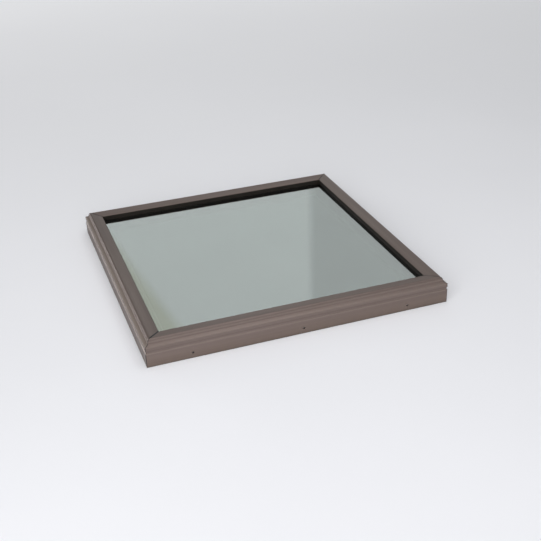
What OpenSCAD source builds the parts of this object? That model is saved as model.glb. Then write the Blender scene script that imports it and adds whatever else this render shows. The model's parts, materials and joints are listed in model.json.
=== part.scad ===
// Fixed roof skylight for a raised curb: four mitred aluminium extrusions around an insulating glass unit.
// Millimetres, +Z up. The origin is the middle of the skirt's foot, +X to the right and +Y to the back.
// Sections are drawn as [inset, height]: inset is measured in from the skirt's outer face.

/* [Overall] */
// Outside width of the frame, left to right
frame_w = 664; // [480:1:1400]
// Outside depth of the frame, front to back
frame_d = 664; // [480:1:1400]

/* [Skirt] */
// Height of the skirt's outer face, up to the shoulder
skirt_h = 45; // [42:0.5:70]
// Thickness of the skirt wall
skirt_wall = 3; // [2:0.1:4]
// Distance of the reveal in the outer face below the shoulder
reveal_drop = 8; // [4:0.5:14]
// Width of the reveal, up the face
reveal_w = 6; // [2:0.5:8]
// Depth of the reveal
reveal_depth = 1.2; // [0.4:0.1:1.6]
// Rounding of the skirt's outside edges
skirt_r = 0.6; // [0.2:0.1:1]

/* [Crown] */
// Inset of the step at the foot of the crown
step_in = 7; // [5:0.1:8]
// Rise of the ledge that slopes from the shoulder to the step
ledge_rise = 3.3; // [2:0.1:6]
// Height of the step
step_h = 3.7; // [2:0.1:6]
// How far the step's face leans in over its height
step_lean = 0.7; // [0:0.1:1.5]
// Inset of the ridge, before it is rounded
ridge_in = 9; // [8.5:0.1:14]
// Rise of the crown from the step to the ridge, before it is rounded
ridge_rise = 6.8; // [6.5:0.1:10]
// Rounding of the ridge
ridge_r = 5.5; // [0.5:0.1:6]
// Inset of the nose that covers the edge of the glass
nose_in = 37; // [35:0.5:46]
// Drop from the ridge to the edge of the nose
nose_drop = 4.3; // [2:0.1:6]
// Depth of the nose's inner face, down to the underside of the lip
nose_depth = 8; // [7:0.1:9]
// Rounding of the nose's edge
nose_r = 1; // [0.4:0.1:2]
// Thickness of the walls around the crown's hollow
crown_wall = 2; // [1.5:0.1:2.5]

/* [Screw track] */
// Thickening of the skirt wall behind the track
track_back = 2.2; // [1.5:0.1:3]
// Width of the slot that the seat screws are driven into
track_slot = 3.6; // [3.4:0.1:4.5]
// Thickness of the leg on the glass side of the slot
track_leg = 1.8; // [1.4:0.1:2.5]
// Depth of the slot
track_depth = 16; // [15:0.5:18]

/* [Gasket] */
// Thickness of the gasket between the lip and the glass
gasket_t = 3.5; // [2.5:0.1:5]
// Width of the gasket on the glass
gasket_w = 9; // [7:0.5:12]
// How far the gasket's face stands out past the nose
gasket_proud = 0.7; // [0.5:0.1:2]
// Distance of the top of the gasket's leg below the nose's edge
gasket_drop = 0.9; // [0.8:0.1:4]
// Inset of the gasket's barb from the nose's face
barb_in = 4.5; // [4:0.1:5]
// Width of the barb's pocket in the lip
pocket_w = 4.6; // [4:0.1:5]
// Height of the pocket above its neck
pocket_h = 2.2; // [1.8:0.1:3]
// Width of the pocket's neck
neck_w = 2.4; // [2:0.1:3]
// Height of the neck
neck_h = 1.5; // [1:0.1:2]
// Clearance around the barb in its pocket
barb_clear = 0.2; // [0.1:0.05:0.4]

/* [Glass unit] */
// Thickness of each pane
pane_t = 3; // [3:0.5:6]
// Air space between the panes
air_gap = 9.5; // [6:0.5:14]
// Depth of the edge seal outside the spacer
seal_depth = 6; // [3:0.5:8]
// Width of the spacer channel
spacer_w = 7; // [5:0.5:10]
// Wall of the spacer channel
spacer_wall = 0.6; // [0.4:0.1:1]
// Thickness of the edge blocks
block_t = 1.4; // [1:0.1:4]
// Length of the edge blocks
block_len = 60; // [30:1:100]
// Height of the edge blocks
block_h = 12; // [8:0.5:15]
// Distance of the edge blocks from the frame's corner
block_corner = 150; // [100:1:200]

/* [Seat] */
// Thickness of the bedding tape under the glass
tape_t = 1.5; // [1:0.1:3]
// Width of the bedding tape
tape_w = 20; // [12:0.5:24]
// Thickness of the seat frame's flange
seat_t = 2.5; // [2:0.1:4]
// Gap between the flange and the skirt
seat_clear = 0.4; // [0.2:0.1:1]
// Wall of the seat frame's leg and gutter
gutter_wall = 2; // [1.5:0.1:3]
// Depth of the seat frame's leg below the flange
leg_drop = 7.5; // [5:0.5:12]
// Clear width of the condensation gutter
gutter_w = 6.5; // [4:0.5:12]
// Depth of the condensation gutter
gutter_depth = 7; // [4:0.5:8]

/* [Curb] */
// Room between the curb and the skirt
curb_clear = 5; // [2:0.1:10]
// Thickness of the curb
curb_t = 38.1; // [32:0.1:45]
// Gap between the curb and the seat frame's leg
leg_clear = 0.7; // [0.3:0.1:2]
// Thickness of the foam seal that lies on the curb
foam_t = 3; // [2:0.5:6]
// Width of the foam seal
foam_w = 30; // [20:1:30]

/* [Fixing holes] */
// Diameter of the holes for the screws into the curb
fix_d = 4.8; // [4:0.1:6.5]
// Distance of the holes below the top of the curb
fix_drop = 8; // [5:0.5:12]
// Distance of the end holes from the frame's corner
fix_corner = 95; // [60:1:150]

/* [Corner keys] */
// Length of each leg of a corner key, from the frame's corner
key_len = 70; // [60:1:120]
// Room between a corner key and the roof of the crown's hollow
key_room = 0.6; // [0.3:0.1:1.5]
// Clearance around a corner key in the crown's hollow
key_clear = 0.2; // [0.1:0.05:0.5]
// Distance of a key screw from the frame's corner
key_screw_corner = 50; // [45:1:60]

/* [Screws] */
// Shank diameter of the key screws
key_screw_d = 3; // [2.5:0.1:4]
// Shank diameter of the seat screws
seat_screw_d = 3.2; // [2.8:0.1:3.3]
// Length of the seat screws under the head
seat_screw_len = 14; // [10:0.5:17]
// Distance of the end seat screws from the frame's corner
seat_screw_corner = 80; // [70:1:140]
// Clearance around a screw in a drilled hole
screw_clear = 0.6; // [0.3:0.1:1]
// Head diameter of the screws
head_d = 6.6; // [5.5:0.1:7]
// Head height of the screws
head_h = 2; // [1.5:0.1:2.4]
// Width of the cross recess in the heads
recess_w = 0.9; // [0.6:0.1:1.2]

/* [Hidden] */
SIDES = ["front", "right", "back", "left"];
CORNERS = ["front_right", "back_right", "back_left", "front_left"];
function each_side(name) = [for (s = SIDES) str(name, "_", s)];

// Longest flat on a rounded corner, and the fewest flats that it has
ROUND_STEP = 0.8;
ROUND_LEAST = 6;
// Segments in a drilled hole
HOLE_SEGMENTS = 32;
// How far a cutting shape runs past the face that it cuts
CUT = 1;

BRONZE = [0.47, 0.43, 0.42];
RUBBER = [0.08, 0.08, 0.08];
GLASS = [0.64, 0.70, 0.68, 0.45];
ZINC = [0.70, 0.71, 0.72];
ALUMINIUM = [0.78, 0.79, 0.80];
SEALANT = [0.20, 0.20, 0.21];
FOAM = [0.25, 0.25, 0.26];
VINYL = [0.16, 0.15, 0.15];

// Heights of the frame section, from the skirt's foot
reveal_high = skirt_h - reveal_drop;
reveal_low = reveal_high - reveal_w;
ledge_top = skirt_h + ledge_rise;
step_top = ledge_top + step_h;
ridge_top = step_top + ridge_rise;
nose_top = ridge_top - nose_drop;
lip_under = nose_top - nose_depth;
lip_top = lip_under + crown_wall;

// Heights of what hangs under the lip, from the top down
glass_top = lip_under - gasket_t;
cavity_top = glass_top - pane_t;
cavity_low = cavity_top - air_gap;
glass_under = cavity_low - pane_t;
glass_mid = (glass_top + glass_under) / 2;
seat_top = glass_under - tape_t;
seat_under = seat_top - seat_t;
curb_top = seat_under - foam_t;
fix_h = curb_top - fix_drop;
slot_top = seat_top + track_depth;

// Insets from the skirt's outer face inwards
slot_in = skirt_wall + track_back;
leg_in = slot_in + track_slot;
block_in = leg_in + track_leg;
glass_in = block_in + block_t;
spacer_in = glass_in + seal_depth;
slot_mid = slot_in + track_slot / 2;
barb_mid = nose_in - barb_in;
pocket_out = barb_mid - pocket_w / 2;
gasket_face = nose_in + gasket_proud;
curb_out = skirt_wall + curb_clear;
foam_out = curb_out + (curb_t - foam_w) / 2;
foam_end = foam_out + foam_w;
seat_out = skirt_wall + seat_clear;
seat_leg_in = curb_out + curb_t + leg_clear;
gutter_in = seat_leg_in + gutter_wall;
gutter_end = gutter_in + gutter_w + gutter_wall;
gutter_floor = seat_under - leg_drop;

// The crown's hollow, and the corner key that fits in it
crown_slope = ridge_rise / (ridge_in - step_in - step_lean);
nose_slope = nose_drop / (nose_in - ridge_in);
hollow_end = pocket_out;
key_end = hollow_end - crown_wall - key_clear;
key_roof = nose_top + nose_slope * (nose_in - key_end) - crown_wall * sqrt(1 + nose_slope * nose_slope);
key_top = key_roof - key_room;
roof_drop = crown_wall * sqrt(1 + crown_slope * crown_slope);
key_roof_in = step_in + step_lean + (key_top - step_top + roof_drop) / crown_slope;
key_out = max(key_roof_in, step_in + crown_wall) + key_clear;
key_mid = (key_out + key_end) / 2;

// Deepest inset of any mitred strip, with room to spare
mitre_reach = max(gasket_face, foam_end) + CUT;

// Length of a side, and how far its outer face lies from the middle
function side_len(k) = k % 2 == 0 ? frame_w : frame_d;
function side_off(k) = k % 2 == 0 ? frame_d / 2 : frame_w / 2;
// Places along a side: a middle one and two at a distance from the corners, or only those two
function end_places(k, corner) = [for (s = [-1, 1]) s * (side_len(k) / 2 - corner)];
function three_places(k, corner) = concat(end_places(k, corner), [0]);

function unit(v) = v / norm(v);
function flat(p) = [p[0], p[1]];
function left_of(v) = [-v[1], v[0]];

// Points of an arc with radius r that rounds the corner b between its neighbours a and c
function corner_arc(a, b, c, r) =
    let (u = unit(a - b), v = unit(c - b))
    let (half = acos(u * v) / 2)
    let (middle = b + unit(u + v) * r / sin(half))
    let (from = b + u * r / tan(half) - middle, to = b + v * r / tan(half) - middle)
    let (start = atan2(from[1], from[0]))
    let (sweep = (atan2(to[1], to[0]) - start + 540) % 360 - 180)
    let (flats = max(ROUND_LEAST, ceil(r * abs(sweep) * PI / 180 / ROUND_STEP)))
    [for (s = [0 : flats])
        let (angle = start + sweep * s / flats)
        middle + r * [cos(angle), sin(angle)]];

// A closed outline from [inset, height, radius] corners
function rounded(path) =
    let (count = len(path))
    [for (i = [0 : count - 1])
        let (before = flat(path[(i + count - 1) % count]), after = flat(path[(i + 1) % count]))
        each path[i][2] > 0 ? corner_arc(before, flat(path[i]), after, path[i][2]) : [flat(path[i])]];

// Counterclockwise [inset, height, radius] corners with every edge moved inwards
function shrunk(path, by) =
    let (count = len(path))
    [for (i = [0 : count - 1])
        let (before = flat(path[(i + count - 1) % count]), after = flat(path[(i + 1) % count]))
        let (n1 = left_of(unit(flat(path[i]) - before)), n2 = left_of(unit(after - flat(path[i]))))
        let (moved = flat(path[i]) + by * (n1 + n2) / (1 + n1 * n2))
        [moved[0], moved[1], max(path[i][2] - by, 0)]];

// Puts what is drawn for the front side on side k, with its outer face at y = 0
module at_side(k) {
    rotate([0, 0, 90 * k])
        translate([0, -side_off(k), 0])
            children();
}

// Extrudes a section along side k and cuts both ends at 45 degrees
module mitred(k) {
    outer = side_len(k) / 2 + CUT;
    inner = side_len(k) / 2 - mitre_reach;
    intersection() {
        translate([-outer, 0, 0])
            rotate([90, 0, 90])
                linear_extrude(2 * outer)
                    children();
        translate([0, 0, -CUT])
            linear_extrude(ridge_top + 2 * CUT)
                polygon([[-outer, -CUT], [outer, -CUT], [inner, mitre_reach], [-inner, mitre_reach]]);
    }
}

// A square in a section, from one [inset, height] corner to the opposite one
module bar(low, high) {
    translate(low)
        square(high - low);
}

// A block over the whole plan that stands in from the frame's outer face
module slab(inset, low, high) {
    size = [frame_w - 2 * inset, frame_d - 2 * inset, high - low];
    translate([-size[0] / 2, -size[1] / 2, low])
        cube(size);
}

// A rectangular ring between two insets
module ring(outer, inner, low, high) {
    difference() {
        slab(outer, low, high);
        slab(inner, low - CUT, high + CUT);
    }
}

// An upright round bar or drilled hole
module upright(x, y, d, low, high) {
    translate([x, y, low])
        cylinder(d = d, h = high - low, $fn = HOLE_SEGMENTS);
}

// A screw that points up, with its head under the given height and a cross recess in the head
module screw(x, y, seat, d, length) {
    depth = head_h / 2;
    difference() {
        union() {
            upright(x, y, head_d, seat - head_h, seat);
            upright(x, y, d, seat, seat + length);
        }
        for (turn = [0, 90])
            translate([x, y, seat - head_h])
                rotate([0, 0, turn])
                    cube([head_d / 2, recess_w, 2 * depth], center = true);
    }
}

// Section of the frame
module frame_section() {
    hollow = [
        [step_in, lip_under, 0],
        [hollow_end, lip_under, 0],
        [hollow_end, nose_top + nose_slope * (nose_in - hollow_end), 0],
        [ridge_in, ridge_top, ridge_r],
        [step_in + step_lean, step_top, 0]
    ];
    difference() {
        polygon(rounded([
            [0, 0, skirt_r],
            [0, reveal_low, 0],
            [reveal_depth, reveal_low + reveal_depth, 0],
            [reveal_depth, reveal_high, 0],
            [0, reveal_high, 0],
            [0, skirt_h, skirt_r],
            [step_in, ledge_top, 0],
            [step_in + step_lean, step_top, skirt_r],
            [ridge_in, ridge_top, ridge_r],
            [nose_in, nose_top, nose_r],
            [nose_in, lip_under, 0],
            [block_in, lip_under, 0],
            [block_in, seat_top, 0],
            [leg_in, seat_top, 0],
            [leg_in, slot_top, 0],
            [slot_in, slot_top, 0],
            [slot_in, seat_top, 0],
            [skirt_wall, seat_top, 0],
            [skirt_wall, 0, 0]
        ]));
        polygon(rounded(shrunk(hollow, crown_wall)));
        bar([barb_mid - neck_w / 2, lip_under - CUT], [barb_mid + neck_w / 2, lip_under + neck_h + CUT]);
        bar([pocket_out, lip_under + neck_h], [pocket_out + pocket_w, lip_under + neck_h + pocket_h]);
    }
}

// One side of the frame, with the holes for the curb screws and the key screws
module frame(k) {
    color(BRONZE)
        at_side(k)
            difference() {
                mitred(k)
                    frame_section();
                for (x = three_places(k, fix_corner))
                    translate([x, -CUT, fix_h])
                        rotate([-90, 0, 0])
                            cylinder(d = fix_d, h = skirt_wall + 2 * CUT, $fn = HOLE_SEGMENTS);
                for (x = end_places(k, key_screw_corner))
                    upright(x, key_mid, key_screw_d + screw_clear, lip_under - CUT, lip_top + CUT);
            }
}

// Corner key at the right-hand end of side k
module corner_key(k) {
    half = side_len(k) / 2;
    color(ALUMINIUM)
        at_side(k)
            difference() {
                translate([0, 0, lip_top])
                    linear_extrude(key_top - lip_top)
                        polygon([
                            [half - key_len, key_out],
                            [half - key_out, key_out],
                            [half - key_out, key_len],
                            [half - key_end, key_len],
                            [half - key_end, key_end],
                            [half - key_len, key_end]
                        ]);
                for (p = [[key_screw_corner, key_mid], [key_mid, key_screw_corner]])
                    upright(half - p[0], p[1], key_screw_d + screw_clear / 2, lip_top - CUT, ridge_top);
            }
}

// Screws up through the lip into the corner keys
module corner_key_screws() {
    color(ZINC)
        for (k = [0 : 3])
            at_side(k)
                for (x = end_places(k, key_screw_corner))
                    screw(x, key_mid, lip_under, key_screw_d, key_top - lip_under);
}

// Rubber strip between the nose and the outer pane, with a leg up the nose's inner face and a barb in the
// lip's pocket that holds it
module glazing_gasket(k) {
    barb_low = lip_under + neck_h + barb_clear;
    barb_top = lip_under + neck_h + pocket_h - barb_clear;
    color(RUBBER)
        at_side(k)
            mitred(k)
                union() {
                    bar([gasket_face - gasket_w, glass_top], [gasket_face, lip_under]);
                    bar([nose_in, glass_top], [gasket_face, nose_top - gasket_drop]);
                    bar(
                        [barb_mid - neck_w / 2 + barb_clear, lip_under - CUT],
                        [barb_mid + neck_w / 2 - barb_clear, barb_top]
                    );
                    bar([pocket_out + barb_clear, barb_low], [pocket_out + pocket_w - barb_clear, barb_top]);
                }
}

module outer_pane() {
    color(GLASS)
        slab(glass_in, cavity_top, glass_top);
}

module inner_pane() {
    color(GLASS)
        slab(glass_in, glass_under, cavity_low);
}

// Bent channel that keeps the panes apart, open to the air space
module spacer_bar() {
    inner = spacer_in + spacer_w;
    color(ZINC)
        difference() {
            ring(spacer_in, inner, cavity_low, cavity_top);
            ring(spacer_in + spacer_wall, inner + CUT, cavity_low + spacer_wall, cavity_top - spacer_wall);
        }
}

// Sealant that closes the edge of the glass unit
module edge_seal() {
    color(SEALANT)
        ring(glass_in, spacer_in, cavity_low, cavity_top);
}

// Blocks between the edge of the glass unit and the frame, two on each side
module edge_blocks() {
    color(VINYL)
        for (k = [0 : 3])
            at_side(k)
                for (x = end_places(k, block_corner))
                    translate([x - block_len / 2, block_in, glass_mid - block_h / 2])
                        cube([block_len, block_t, block_h]);
}

// Tape between the inner pane and the seat frame
module bedding_tape(k) {
    color(SEALANT)
        at_side(k)
            mitred(k)
                bar([nose_in - tape_w, seat_top], [nose_in, glass_under]);
}

// Welded ring that carries the glass unit, with a condensation gutter inside the curb
module seat_frame() {
    floor_top = gutter_floor + gutter_wall;
    color(VINYL)
        difference() {
            union() {
                ring(seat_out, gutter_in, seat_under, seat_top);
                ring(seat_leg_in, gutter_in, gutter_floor, seat_top);
                ring(seat_leg_in, gutter_end, gutter_floor, floor_top);
                ring(gutter_end - gutter_wall, gutter_end, gutter_floor, floor_top + gutter_depth);
            }
            for (k = [0 : 3])
                at_side(k)
                    for (x = three_places(k, seat_screw_corner))
                        upright(x, slot_mid, seat_screw_d + screw_clear, seat_under - CUT, seat_top + CUT);
        }
}

// Screws up through the seat frame into the screw tracks
module seat_screws() {
    color(ZINC)
        for (k = [0 : 3])
            at_side(k)
                for (x = three_places(k, seat_screw_corner))
                    screw(x, slot_mid, seat_under, seat_screw_d, seat_screw_len);
}

// Foam strip that lies on the curb
module curb_seal(k) {
    color(FOAM)
        at_side(k)
            mitred(k)
                bar([foam_out, curb_top], [foam_end, seat_under]);
}

for (k = [0 : 3]) {
    frame(k);
    corner_key(k);
    glazing_gasket(k);
    bedding_tape(k);
    curb_seal(k);
}
corner_key_screws();
outer_pane();
spacer_bar();
edge_seal();
inner_pane();
edge_blocks();
seat_frame();
seat_screws();
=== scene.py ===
import json
import math

import bmesh
import bpy
from mathutils import Matrix, Vector, noise


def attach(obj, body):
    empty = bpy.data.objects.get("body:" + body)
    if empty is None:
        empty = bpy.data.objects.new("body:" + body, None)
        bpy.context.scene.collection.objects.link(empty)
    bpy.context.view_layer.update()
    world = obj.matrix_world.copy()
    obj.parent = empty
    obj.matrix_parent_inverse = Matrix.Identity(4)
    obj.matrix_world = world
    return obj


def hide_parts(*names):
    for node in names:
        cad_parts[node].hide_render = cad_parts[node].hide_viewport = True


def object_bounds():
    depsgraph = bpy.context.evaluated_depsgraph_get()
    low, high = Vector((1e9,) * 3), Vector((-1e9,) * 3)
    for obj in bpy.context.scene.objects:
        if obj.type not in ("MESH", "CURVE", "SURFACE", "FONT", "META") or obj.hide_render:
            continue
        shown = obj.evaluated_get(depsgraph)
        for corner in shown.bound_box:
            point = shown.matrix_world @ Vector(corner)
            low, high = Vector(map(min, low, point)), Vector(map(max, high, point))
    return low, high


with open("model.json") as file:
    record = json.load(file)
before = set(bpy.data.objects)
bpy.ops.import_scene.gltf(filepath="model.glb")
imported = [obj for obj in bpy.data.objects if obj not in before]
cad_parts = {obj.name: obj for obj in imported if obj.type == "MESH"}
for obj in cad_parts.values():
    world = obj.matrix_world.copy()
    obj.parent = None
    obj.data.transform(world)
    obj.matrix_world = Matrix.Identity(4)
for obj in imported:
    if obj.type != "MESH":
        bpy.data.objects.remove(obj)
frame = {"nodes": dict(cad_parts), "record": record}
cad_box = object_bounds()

# Camera, in the part's frame: bearings in degrees, lengths in metres, focal length in pixels of the image
CAMERA_AZIMUTH = -19.08
CAMERA_ELEVATION = 28.16
CAMERA_ROLL = -1.95
CAMERA_DISTANCE = 2.16362
CAMERA_RIGHT = 0.04375
CAMERA_UP = -0.01473
FOCAL_PIXELS = 913.47
IMAGE_PIXELS = 541
SENSOR_MM = 36.0

MM = 0.001
SIDES = ["front", "right", "back", "left"]
HALF = cad_box[1].x

# Corners of the frame's outside as (inset, height) in millimetres, from the skirt's foot to the nose
MITRE_PATH = [
    (0.0, 0.8), (0.0, 30.8), (1.2, 32.2), (1.2, 36.8), (0.0, 37.2), (0.0, 44.6), (0.5, 45.2), (7.0, 48.3),
    (7.6, 51.5), (8.0, 53.59), (8.64, 55.31), (9.86, 56.77), (11.34, 57.66), (12.92, 58.04), (14.23, 58.0),
    (36.1, 54.64), (36.77, 54.29),
]
# Inset in millimetres past which that path runs down the inner slope
RIDGE_IN = 12.5

# Angles in degrees over which the faces of a strip or of the sealant meet at a sharp edge
STRIP_CREASE = 40
SEALANT_CREASE = 60


# Small tools for meshes

def add_object(name, mesh, material):
    """Link a mesh as a piece that rides on the part and takes its finish from a slot of the record."""
    obj = bpy.data.objects.new(name, mesh)
    bpy.context.scene.collection.objects.link(obj)
    obj.data.materials.append(material)
    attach(obj, "root")
    return obj


def side_point(side, along, inset, height):
    """A point on one side of the frame: along it, in from its outer face, and above the skirt's foot."""
    x, y = along, -(HALF - inset)
    for _ in range(SIDES.index(side)):
        x, y = -y, x
    return Vector((x, y, height))


def tube_mesh(name, rings, crease):
    """Skin rings of equally many points into a closed mesh, sharp where faces meet over the crease angle."""
    mesh = bpy.data.meshes.new(name)
    bm = bmesh.new()
    loops = [[bm.verts.new(point) for point in ring] for ring in rings]
    count = len(loops[0])
    for first, second in zip(loops, loops[1:]):
        for i in range(count):
            j = (i + 1) % count
            bm.faces.new((first[i], first[j], second[j], second[i]))
    bm.faces.new(loops[0][::-1])
    bm.faces.new(loops[-1])
    bmesh.ops.recalc_face_normals(bm, faces=bm.faces)
    bm.to_mesh(mesh)
    bm.free()
    mesh.shade_smooth()
    mesh.set_sharp_from_angle(angle=math.radians(crease))
    return mesh


def mitred_strip(name, outline, side, segments, wobble):
    """Sweep an outline of (inset, height) points in millimetres along one side, mitred at both ends."""
    rings = []
    for step in range(segments + 1):
        share = 2.0 * step / segments - 1.0
        ring = []
        for inset, height in outline:
            point = side_point(side, share * (HALF - inset * MM), inset * MM, height * MM)
            ring.append(point + wobble(point))
        rings.append(ring)
    return tube_mesh(name, rings, STRIP_CREASE)


def arc(centre, radius, start, end, points):
    """Points of an arc in the section, angles in degrees."""
    angles = [math.radians(start + (end - start) * k / (points - 1)) for k in range(points)]
    return [(centre[0] + radius * math.cos(a), centre[1] + radius * math.sin(a)) for a in angles]


# Small tools for materials

class Shader:
    """A node material with one Principled shader, and short ways to add the nodes that feed it."""

    def __init__(self, name):
        self.material = bpy.data.materials.new(name)
        self.material.use_nodes = True
        self.nodes = self.material.node_tree.nodes
        self.links = self.material.node_tree.links
        self.bsdf = self.nodes["Principled BSDF"]
        self.place = self.nodes.new("ShaderNodeTexCoord").outputs["Object"]

    def set(self, **values):
        """Set constant values on the shader's own sockets."""
        for name, value in values.items():
            self.bsdf.inputs[name.replace("_", " ")].default_value = value

    def feed(self, socket, value):
        self.links.new(value, self.bsdf.inputs[socket])

    def noise(self, scale, detail, stretch=(1.0, 1.0, 1.0), roughness=0.5):
        mapping = self.nodes.new("ShaderNodeMapping")
        mapping.inputs["Scale"].default_value = stretch
        self.links.new(self.place, mapping.inputs["Vector"])
        texture = self.nodes.new("ShaderNodeTexNoise")
        texture.inputs["Scale"].default_value = scale
        texture.inputs["Detail"].default_value = detail
        texture.inputs["Roughness"].default_value = roughness
        self.links.new(mapping.outputs["Vector"], texture.inputs["Vector"])
        return texture.outputs["Fac"]

    def ramp(self, value, stops):
        """A colour ramp through (position, colour) stops."""
        node = self.nodes.new("ShaderNodeValToRGB")
        elements = node.color_ramp.elements
        while len(elements) < len(stops):
            elements.new(0.5)
        for element, (position, colour) in zip(elements, stops):
            element.position = position
            element.color = (*colour, 1.0)
        self.links.new(value, node.inputs["Fac"])
        return node.outputs["Color"]

    def mix(self, amount, first, colour):
        """Blend a colour socket towards a plain colour by an amount socket."""
        node = self.nodes.new("ShaderNodeMix")
        node.data_type = "RGBA"
        sockets = {s.name: s for s in node.inputs if s.enabled}
        self.links.new(amount, sockets["Factor"])
        self.links.new(first, sockets["A"])
        sockets["B"].default_value = (*colour, 1.0)
        return next(s for s in node.outputs if s.enabled)

    def span(self, value, low, high, from_low, from_high):
        """Map a value from one range to another, clamped."""
        node = self.nodes.new("ShaderNodeMapRange")
        node.inputs["From Min"].default_value = from_low
        node.inputs["From Max"].default_value = from_high
        node.inputs["To Min"].default_value = low
        node.inputs["To Max"].default_value = high
        self.links.new(value, node.inputs["Value"])
        return node.outputs["Result"]

    def axis(self, name):
        node = self.nodes.new("ShaderNodeSeparateXYZ")
        self.links.new(self.place, node.inputs["Vector"])
        return node.outputs[name]

    def band(self, value, middle, reach, strength):
        """A strength that falls off to nothing on both sides of a value."""
        away = self.nodes.new("ShaderNodeMath")
        away.operation = "SUBTRACT"
        away.inputs[1].default_value = middle
        self.links.new(value, away.inputs[0])
        size = self.nodes.new("ShaderNodeMath")
        size.operation = "ABSOLUTE"
        self.links.new(away.outputs["Value"], size.inputs[0])
        return self.span(size.outputs["Value"], strength, 0.0, 0.0, reach)

    def bump(self, value, strength, distance):
        node = self.nodes.new("ShaderNodeBump")
        node.inputs["Strength"].default_value = strength
        node.inputs["Distance"].default_value = distance
        self.links.new(value, node.inputs["Height"])
        self.links.new(node.outputs["Normal"], self.bsdf.inputs["Normal"])


# Materials

# Bronze, as linear colours: its streaks, its clouds, near the floor, a painted highlight on edges and painted
# shade in lines
BRONZE_DARK = (0.176, 0.135, 0.121)
BRONZE_LIGHT = (0.219, 0.169, 0.152)
BRONZE_CLOUD = (0.186, 0.142, 0.119)
BRONZE_LOW = (0.186, 0.142, 0.114)
BRONZE_PAINTED_HIGHLIGHT = (0.348, 0.284, 0.246)
BRONZE_PAINTED_SHADE = (0.085, 0.068, 0.060)
# How strong the streaks' tone is on members along X, then along Y; the darker tone along Y is painted shade on
# the side members
SIDE_SHADE_TONE = (1.0, 0.82)
# Painted highlights on edges that catch the light, as (height, reach, strength) with lengths in metres: members
# along X, then along Y
PAINTED_EDGE_HIGHLIGHTS = (
    ((0.0306, 0.0028, 0.32), (0.0448, 0.0034, 0.24), (0.0524, 0.0020, 0.30)),
    ((0.0306, 0.0040, 0.70), (0.0456, 0.0040, 1.00), (0.0506, 0.0034, 1.00)),
)
# Painted shade, given the same way: a shadow line in the reveal and a contact shadow at the foot
PAINTED_SHADE_LINES = ((0.0366, 0.0022, 0.35), (0.0, 0.0034, 0.75))
# Scales of the fine lines and of the broad streaks, along an extrusion and across it
LINES_ALONG = 4.0
LINES_ACROSS = 700.0
STREAKS_ALONG = 1.2
STREAKS_ACROSS = 90.0


def bronze(name, along):
    """Satin bronze on an extrusion: fine lines along it, a warmer tone near the floor, painted highlights on
    edges, painted shade lines, and a darker tone as painted shade on members along Y.
    """
    shader = Shader(name)
    fine = tuple(LINES_ALONG if axis == along else LINES_ACROSS for axis in range(3))
    broad = tuple(STREAKS_ALONG if axis == along else STREAKS_ACROSS for axis in range(3))
    lines = shader.noise(1.0, detail=2.0, stretch=fine)
    streaks = shader.noise(1.0, detail=3.0, stretch=broad)
    clouds = shader.noise(7.0, detail=5.0)
    # Members along Y take a darker tone, as painted shade
    dark, light = (tuple(SIDE_SHADE_TONE[along] * c for c in colour) for colour in (BRONZE_DARK, BRONZE_LIGHT))
    colour = shader.ramp(streaks, [(0.3, dark), (0.7, light)])
    colour = shader.mix(shader.span(clouds, 0.0, 0.35, 0.4, 0.7), colour, BRONZE_CLOUD)
    height = shader.axis("Z")
    colour = shader.mix(shader.span(height, 0.6, 0.0, 0.004, 0.030), colour, BRONZE_LOW)
    # Painted highlights: paler bands on the edges that catch the light
    for middle, reach, strength in PAINTED_EDGE_HIGHLIGHTS[along]:
        colour = shader.mix(shader.band(height, middle, reach, strength), colour, BRONZE_PAINTED_HIGHLIGHT)
    # Painted shade: a shadow line in the reveal and a contact shadow at the foot
    for middle, reach, strength in PAINTED_SHADE_LINES:
        colour = shader.mix(shader.band(height, middle, reach, strength), colour, BRONZE_PAINTED_SHADE)
    shader.feed("Base Color", colour)
    shader.set(Metallic=0.6)
    shader.feed("Roughness", shader.span(lines, 0.34, 0.48, 0.25, 0.75))
    shader.bump(lines, 0.08, 0.0002)
    return shader.material


def plain_metal(name, light, dark, roughness, grain):
    """Bare or plated metal with a grain and faint stains."""
    shader = Shader(name)
    stains = shader.noise(60.0, detail=5.0)
    fine = shader.noise(grain, detail=3.0)
    shader.feed("Base Color", shader.ramp(stains, [(0.35, dark), (0.65, light)]))
    shader.set(Metallic=1.0)
    shader.feed("Roughness", shader.span(fine, roughness - 0.08, roughness + 0.08, 0.3, 0.7))
    shader.bump(fine, 0.1, 0.0002)
    return shader.material


def soft(name, light, dark, roughness, grain, depth):
    """Rubber, sealant, foam or vinyl: a matt skin with a fine grain and uneven tone."""
    shader = Shader(name)
    tone = shader.noise(24.0, detail=4.0)
    fine = shader.noise(grain, detail=6.0, roughness=0.6)
    colour = shader.ramp(tone, [(0.3, dark), (0.7, light)])
    shader.feed("Base Color", shader.mix(shader.span(fine, 0.0, 0.5, 0.35, 0.75), colour, dark))
    shader.feed("Roughness", shader.span(fine, roughness - 0.06, roughness + 0.06, 0.3, 0.7))
    shader.bump(fine, 0.25, depth)
    return shader.material


# The glass's mirror is dimmed and tinted yellow along its left edge, wider towards the front. The dimming is
# full, and none, at two values in metres of X plus the slant times Y.
EDGE_DIM_COLOUR = (0.79, 0.77, 0.66)
EDGE_DIM_SLANT = 0.10
EDGE_DIM_FULL = -0.290
EDGE_DIM_NONE = -0.262
EDGE_UNDIMMED = (1.0, 1.0, 1.0)
# The outer pane's index is far over that of plain glass, so that it mirrors as strongly as in the photograph
OUTER_INDEX = 3.0
INNER_INDEX = 1.5


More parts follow.
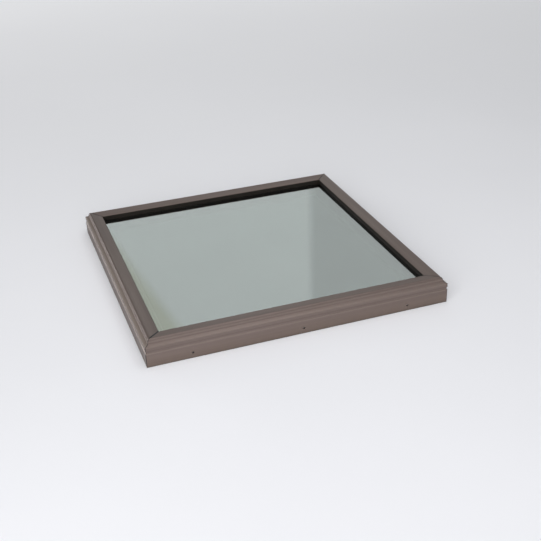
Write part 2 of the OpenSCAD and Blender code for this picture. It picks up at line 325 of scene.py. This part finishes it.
def glass(name, tint, shade, index):
    """Pale green glass that mirrors the room, with faint dust and a dimmer, yellowish mirror along its left
    edge.
    """
    shader = Shader(name)
    cloud = shader.noise(5.0, detail=3.0)
    dust = shader.noise(90.0, detail=5.0)
    shader.feed("Base Color", shader.ramp(cloud, [(0.3, shade), (0.7, tint)]))
    shader.set(IOR=index, Transmission_Weight=1.0)
    shader.feed("Roughness", shader.span(dust, 0.0, 0.05, 0.45, 0.8))
    slanted = shader.nodes.new("ShaderNodeMath")
    slanted.operation = "MULTIPLY_ADD"
    slanted.inputs[1].default_value = EDGE_DIM_SLANT
    shader.links.new(shader.axis("Y"), slanted.inputs[0])
    shader.links.new(shader.axis("X"), slanted.inputs[2])
    undimmed_share = shader.span(slanted.outputs["Value"], 0.0, 1.0, EDGE_DIM_FULL, EDGE_DIM_NONE)
    shader.feed("Specular Tint", shader.ramp(undimmed_share, [(0.0, EDGE_DIM_COLOUR), (1.0, EDGE_UNDIMMED)]))
    return shader.material


# After the two tones: roughness, scale of the grain and, on soft ones, its depth in metres
MATERIALS = {
    "bronze_x_painted_light": bronze("bronze_x_painted_light", 0),
    "bronze_y_painted_light": bronze("bronze_y_painted_light", 1),
    "key_metal": plain_metal("key_metal", (0.50, 0.51, 0.53), (0.40, 0.41, 0.42), 0.48, 900.0),
    "screw_steel": plain_metal("screw_steel", (0.52, 0.53, 0.54), (0.38, 0.38, 0.39), 0.32, 1500.0),
    "spacer_steel": plain_metal("spacer_steel", (0.20, 0.20, 0.21), (0.15, 0.15, 0.16), 0.40, 700.0),
    "gasket_rubber": soft(
        "gasket_rubber", (0.016, 0.013, 0.010), (0.010, 0.008, 0.006), 0.62, 1200.0, 0.0002
    ),
    "edge_sealant": soft("edge_sealant", (0.016, 0.015, 0.014), (0.009, 0.008, 0.008), 0.50, 700.0, 0.0002),
    "block_rubber": soft("block_rubber", (0.020, 0.020, 0.020), (0.012, 0.012, 0.012), 0.60, 900.0, 0.0002),
    "bedding_tape": soft("bedding_tape", (0.026, 0.026, 0.027), (0.017, 0.017, 0.017), 0.70, 900.0, 0.0002),
    "seat_vinyl": soft("seat_vinyl", (0.026, 0.024, 0.024), (0.018, 0.017, 0.017), 0.45, 600.0, 0.0001),
    "curb_foam": soft("curb_foam", (0.060, 0.060, 0.063), (0.035, 0.035, 0.037), 0.85, 1500.0, 0.0006),
    "outer_glass": glass("outer_glass", (0.37, 0.44, 0.41), (0.34, 0.41, 0.38), OUTER_INDEX),
    "inner_glass": glass("inner_glass", (0.50, 0.58, 0.54), (0.47, 0.55, 0.51), INNER_INDEX),
}


def dress(node, material):
    """Give a CAD node its material."""
    mesh = frame["nodes"][node].data
    mesh.materials.clear()
    mesh.materials.append(MATERIALS[material])


for subpart in frame["record"]["subparts"]:
    finish = subpart["material_slot"]
    if finish == "frame_metal":
        # Front and back take one bronze, and the side members a copy darkened as painted shade
        finish = "bronze_x_painted_light" if subpart["node"].endswith(("front", "back")) else "bronze_y_painted_light"
    dress(subpart["node"], finish)


# Soft strips that stand for their plain solids, as outlines of (inset, height) in millimetres

def still(point):
    return Vector((0, 0, 0))


def uneven(amount, scale):
    """A wobble of a soft strip's skin by an amount in metres, the same on every run."""
    def move(point):
        return noise.noise_vector(point * scale) * amount
    return move


# A wiper on the glass, a leg up the nose's inner face, and the barb that holds the strip in its pocket
GASKET_OUTLINE = (
    [(28.75, 43.05), (37.6, 43.05), (37.65, 43.35), (37.35, 43.9), (37.3, 44.6), (37.5, 45.3), (37.65, 46.1)]
    + arc((37.35, 53.25), 0.3, 0, 180, 7)
    + [(37.05, 46.45), (33.45, 46.45), (33.45, 48.25), (34.5, 48.25), (34.5, 48.6), (33.3, 49.9)]
    + [(31.7, 49.9), (30.5, 48.6), (30.5, 48.25), (31.55, 48.25), (31.55, 46.45), (28.75, 46.45)]
)
FOAM_OUTLINE = (
    arc((13.2, 21.7), 1.1, 180, 270, 4)
    + arc((40.9, 21.7), 1.1, 270, 360, 4)
    + arc((40.9, 22.4), 1.1, 0, 90, 4)
    + arc((13.2, 22.4), 1.1, 90, 180, 4)
)
TAPE_OUTLINE = (
    arc((17.8, 26.75), 0.72, 90, 270, 7)
    + arc((36.2, 26.75), 0.72, -90, 90, 7)
)
WAVY_SEGMENTS = 90
foam_wobble = uneven(0.00025, 60.0)
tape_wobble = uneven(0.00012, 80.0)
for side in SIDES:
    for kind, outline, slot, wobble, segments in (
        ("glazing_gasket", GASKET_OUTLINE, "gasket_rubber", still, 1),
        ("curb_seal", FOAM_OUTLINE, "curb_foam", foam_wobble, WAVY_SEGMENTS),
        ("bedding_tape", TAPE_OUTLINE, "bedding_tape", tape_wobble, WAVY_SEGMENTS),
    ):
        name = f"{kind}_{side}_strip"
        strip = add_object(name, mitred_strip(name, outline, side, segments, wobble), MATERIALS[slot])
        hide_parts(f"{kind}_{side}")


# Sealant drawn over each mitre: half its width in millimetres on the outer faces and on the inner slope. On the
# inner slopes, where the mitres form valleys, the beads are wider, partly as painted shade, and widest at the
# front left.

SEALANT_SUNK = 0.0004
SEALANT_PROUD = 0.00025
SEALANT_AND_SHADE_WIDTHS = {
    "front_right": (0.6, 0.9),
    "back_right": (0.8, 1.4),
    "back_left": (0.8, 1.4),
    # The front left bead is the widest, partly as painted shade in its valley
    "front_left": (0.9, 2.6),
}


def sealant(name, corner, outer, inner):
    """A thin bead on the mitre between one side and the next, draped over both faces."""
    first, second = SIDES[corner], SIDES[(corner + 1) % 4]
    rings = []
    for index, (inset, height) in enumerate(MITRE_PATH):
        before = Vector(MITRE_PATH[max(index - 1, 0)])
        after = Vector(MITRE_PATH[min(index + 1, len(MITRE_PATH) - 1)])
        way = (after - before).normalized()
        reach = (inner if inset > RIDGE_IN else outer) * MM
        end = HALF - inset * MM

        def lifted(side, sign, back, lift):
            base = side_point(side, sign * (end - back), inset * MM, height * MM)
            inward = side_point(side, 0, 1.0, 0) - side_point(side, 0, 0, 0)
            return base + (Vector((0, 0, way.x)) - inward * way.y) * lift

        def middle(lift):
            return (lifted(first, 1, 0.0, lift) + lifted(second, -1, 0.0, lift)) / 2

        rings.append([
            lifted(first, 1, reach, 0.0),
            lifted(first, 1, reach * 0.5, SEALANT_PROUD),
            middle(SEALANT_PROUD),
            lifted(second, -1, reach * 0.5, SEALANT_PROUD),
            lifted(second, -1, reach, 0.0),
            lifted(second, -1, reach, -SEALANT_SUNK),
            middle(-SEALANT_SUNK),
            lifted(first, 1, reach, -SEALANT_SUNK),
        ])
    return tube_mesh(name, rings, SEALANT_CREASE)


for corner, (place, (outer, inner)) in enumerate(SEALANT_AND_SHADE_WIDTHS.items()):
    name = f"mitre_sealant_and_shade_{place}"
    add_object(name, sealant(name, corner, outer, inner), MATERIALS["edge_sealant"])


# Studio: a pale floor, a sky that is dimmer near the horizon, and soft lamps

FLOOR_SIZE = 14.0
FLOOR_DROP = 0.0004
FLOOR_COLOUR = (0.82, 0.82, 0.85)
# Glow that only the camera sees: it grows from none at one Y to its full strength at another
FLOOR_LIFT = 0.36
FLOOR_LIFT_FROM = -1.1
FLOOR_LIFT_TO = 3.3
SKY_COLOUR = (0.96, 0.98, 1.0)
# Strength of the sky at the horizon and overhead, and the one that the camera sees
SKY_LOW = 0.17
SKY_HIGH = 0.37
SKY_SEEN = 0.74
# The panel that the glass mirrors, and the layers behind it that add a brighter window, whose right edge is soft
# because they end one after another
PANEL_COLOUR = (0.93, 1.0, 0.985)
PANEL_LEFT = 0.50
PANEL_WIDTH = 3.42
PANEL_HEIGHT = 2.90
PANEL_LEVEL = 3.70
PANEL_DEPTH = 6.0
PANEL_POWER = 20.6
WINDOW_LAYERS = 6
WINDOW_RIGHT = 2.54
WINDOW_RIGHT_STEP = 0.024
WINDOW_DEPTH_STEP = 0.02
WINDOW_POWER = 0.86


def floor_material():
    """Plain pale floor with a faint unevenness, which looks as pale to the camera far off as close by."""
    shader = Shader("floor")
    cloud = shader.noise(1.2, detail=4.0)
    dim = tuple(0.97 * c for c in FLOOR_COLOUR)
    shader.feed("Base Color", shader.ramp(cloud, [(0.3, dim), (0.7, FLOOR_COLOUR)]))
    shader.set(Roughness=0.9, Specular_IOR_Level=0.2)
    lift = shader.nodes.new("ShaderNodeMath")
    lift.operation = "MULTIPLY"
    shader.links.new(shader.nodes.new("ShaderNodeLightPath").outputs["Is Camera Ray"], lift.inputs[0])
    glow = shader.span(shader.axis("Y"), 0.0, FLOOR_LIFT, FLOOR_LIFT_FROM, FLOOR_LIFT_TO)
    shader.links.new(glow, lift.inputs[1])
    shader.feed("Emission Strength", lift.outputs["Value"])
    return shader.material


def sky():
    """A plain world whose strength grows from the horizon to overhead, and which looks pale to the camera."""
    world = bpy.data.worlds.new("sky")
    world.use_nodes = True
    nodes, links = world.node_tree.nodes, world.node_tree.links
    background = nodes["Background"]
    background.inputs["Color"].default_value = (*SKY_COLOUR, 1.0)
    direction = nodes.new("ShaderNodeSeparateXYZ")
    links.new(nodes.new("ShaderNodeTexCoord").outputs["Generated"], direction.inputs["Vector"])
    strength = nodes.new("ShaderNodeMapRange")
    strength.inputs["To Min"].default_value = SKY_LOW
    strength.inputs["To Max"].default_value = SKY_HIGH
    links.new(direction.outputs["Z"], strength.inputs["Value"])
    seen = nodes.new("ShaderNodeMix")
    links.new(nodes.new("ShaderNodeLightPath").outputs["Is Camera Ray"], seen.inputs["Factor"])
    links.new(strength.outputs["Result"], seen.inputs["A"])
    seen.inputs["B"].default_value = SKY_SEEN
    links.new(seen.outputs["Result"], background.inputs["Strength"])
    return world


def lamp(name, place, target, width, height, power, colour=(1.0, 1.0, 1.0)):
    """A soft oblong lamp that faces a point."""
    light = bpy.data.lights.new(name, "AREA")
    light.shape = "RECTANGLE"
    light.size = width
    light.size_y = height
    light.energy = power
    light.color = colour
    obj = bpy.data.objects.new(name, light)
    bpy.context.scene.collection.objects.link(obj)
    obj.location = place
    obj.rotation_mode = "QUATERNION"
    obj.rotation_quaternion = (Vector(target) - Vector(place)).to_track_quat("-Z", "Y")
    return obj


bpy.ops.mesh.primitive_plane_add(size=FLOOR_SIZE, location=(0, 0, -FLOOR_DROP))
floor = bpy.context.object
floor.name = "floor"
floor.data.materials.append(floor_material())

def mirrored(name, width, depth, power):
    """An upright lamp behind the part, from the panel's left edge, that faces the front."""
    middle = PANEL_LEFT + width / 2
    lamp(
        name, (middle, depth, PANEL_LEVEL), (middle, 0, PANEL_LEVEL), width, PANEL_HEIGHT, power, PANEL_COLOUR
    )


bpy.context.scene.world = sky()
# Each lamp's place, the point that it faces, its width, height and power. The glass doesn't mirror the key.
lamp("key", (-1.4, -2.7, 1.5), (0, 0, 0), 3.6, 2.6, 119.0).visible_glossy = False
lamp("top", (0.35, -0.55, 2.1), (0.35, -0.55, 0), 1.3, 1.7, 8.6)
lamp("low_left", (-3.33, 4.70, 0.87), (-0.33, 0, 0.05), 2.0, 1.0, 36.0)
lamp("low_back", (1.55, 5.5, 0.75), (1.55, 0, 0.75), 1.7, 0.9, 1.7)
mirrored("back_panel", PANEL_WIDTH, PANEL_DEPTH, PANEL_POWER)
for layer in range(WINDOW_LAYERS):
    width = WINDOW_RIGHT + WINDOW_RIGHT_STEP * layer - PANEL_LEFT
    mirrored("window", width, PANEL_DEPTH + WINDOW_DEPTH_STEP * (layer + 1), WINDOW_POWER)


# Camera

def photo_camera():
    """A camera at the photograph's place: bearings about the part, then a roll, then a step back."""
    azimuth, elevation, roll = (math.radians(v) for v in (CAMERA_AZIMUTH, CAMERA_ELEVATION, CAMERA_ROLL))
    back = Vector((
        math.sin(azimuth) * math.cos(elevation),
        -math.cos(azimuth) * math.cos(elevation),
        math.sin(elevation),
    ))
    level = Vector((math.cos(azimuth), math.sin(azimuth), 0))
    upright = back.cross(level)
    right = math.cos(roll) * level + math.sin(roll) * upright
    up = math.cos(roll) * upright - math.sin(roll) * level
    place = right * CAMERA_RIGHT + up * CAMERA_UP + back * CAMERA_DISTANCE
    data = bpy.data.cameras.new("camera")
    data.sensor_width = SENSOR_MM
    data.lens = FOCAL_PIXELS / IMAGE_PIXELS * SENSOR_MM
    obj = bpy.data.objects.new("camera", data)
    bpy.context.scene.collection.objects.link(obj)
    rotation = Matrix((right, up, back)).transposed()
    obj.matrix_world = Matrix.Translation(place) @ rotation.to_4x4()
    return obj


bpy.context.scene.camera = photo_camera()
bpy.context.scene.view_settings.view_transform = "Standard"
